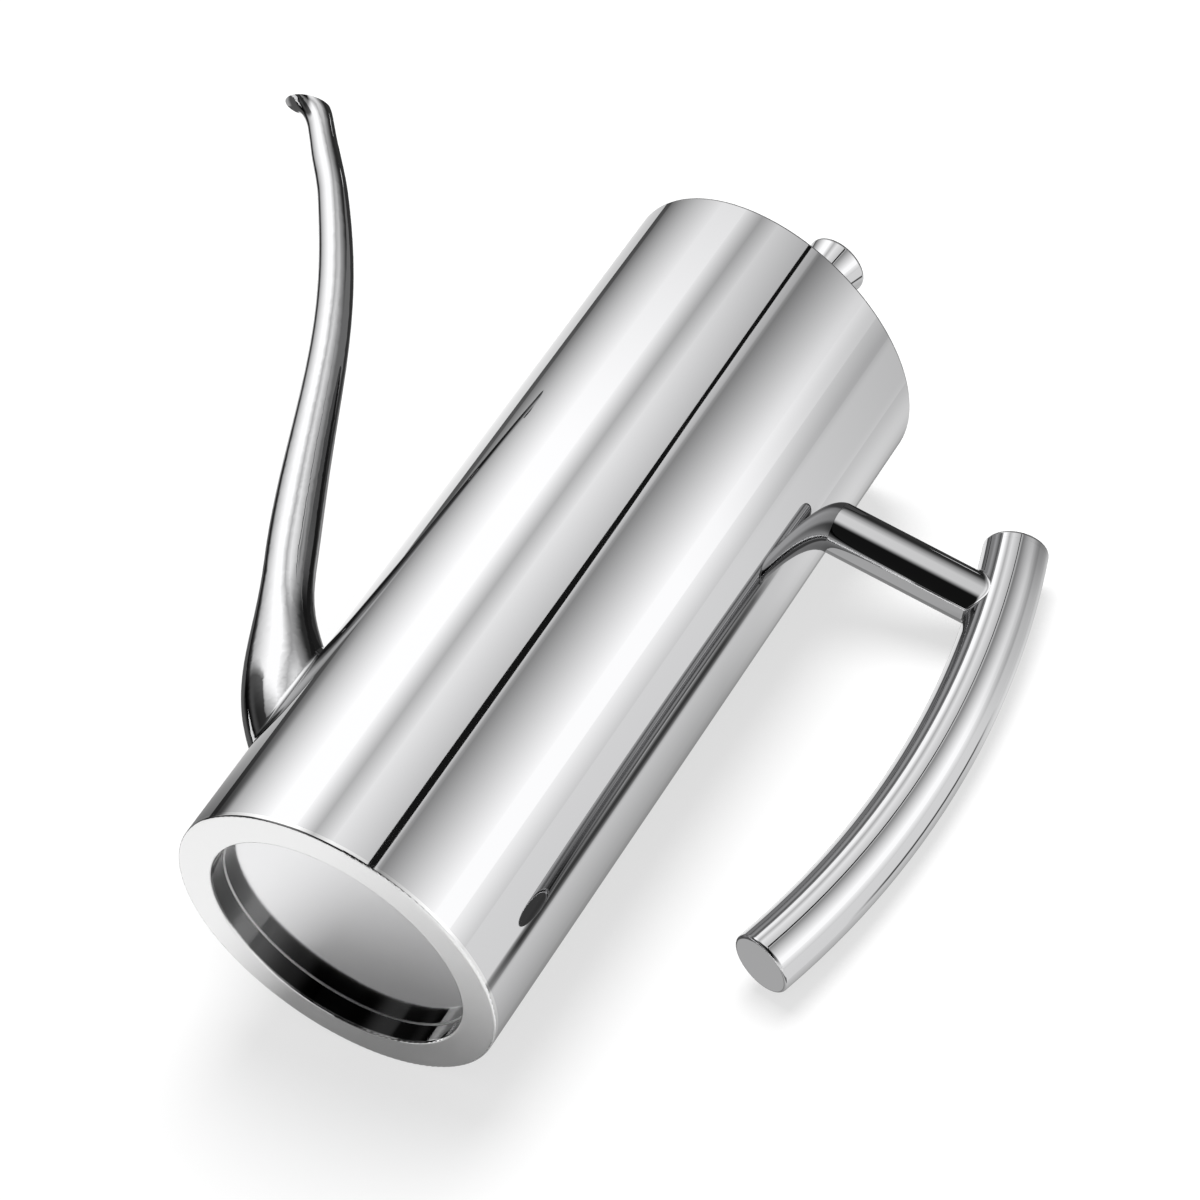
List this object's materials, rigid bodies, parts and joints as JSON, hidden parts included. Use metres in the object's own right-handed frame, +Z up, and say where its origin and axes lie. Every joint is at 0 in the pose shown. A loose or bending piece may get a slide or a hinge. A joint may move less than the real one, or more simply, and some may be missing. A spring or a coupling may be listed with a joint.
{
  "type": "gooseneck kettle",
  "caption": "Slim polished steel gooseneck kettle with a slanted top, tapered spout, one-armed bow handle and lift-off knobbed lid.",
  "frame": {"origin": "centre of the standing plane, on the body's axis", "axes": "+Z up along the body's axis, +X towards the handle, -X towards the spout, +Y across"},
  "size_m": [0.2294, 0.08, 0.2244],
  "materials": {
    "steel_polished": "mirror polished stainless steel",
    "steel_satin": "satin stainless steel",
    "silicone": "matt translucent white silicone"
  },
  "bodies": {
    "kettle": {"body_shell": "steel_polished", "base_ring": "steel_satin", "base_plate": "steel_polished", "mouth_ring": "steel_polished", "spout_tube": "steel_polished", "handle_arm": "steel_polished", "handle_bow": "steel_polished", "bow_top_cap": "steel_polished", "bow_bottom_cap": "steel_polished", "arm_plug": "steel_polished", "handle_screw": "steel_polished", "handle_saddle": "steel_polished", "handle_gasket": "silicone"},
    "lid": {"lid_cover": "steel_polished", "lid_skirt": "steel_polished", "lid_seal": "silicone", "lid_knob": "steel_polished", "knob_washer": "silicone", "knob_screw": "steel_polished", "knob_screw_washer": "steel_polished"}
  },
  "joints": [
    {"name": "lid_lift", "type": "slide", "parent": "kettle", "child": "lid", "axis": [0.1262, 0, 0.992], "range_m": [0, 0.03]}
  ]
}
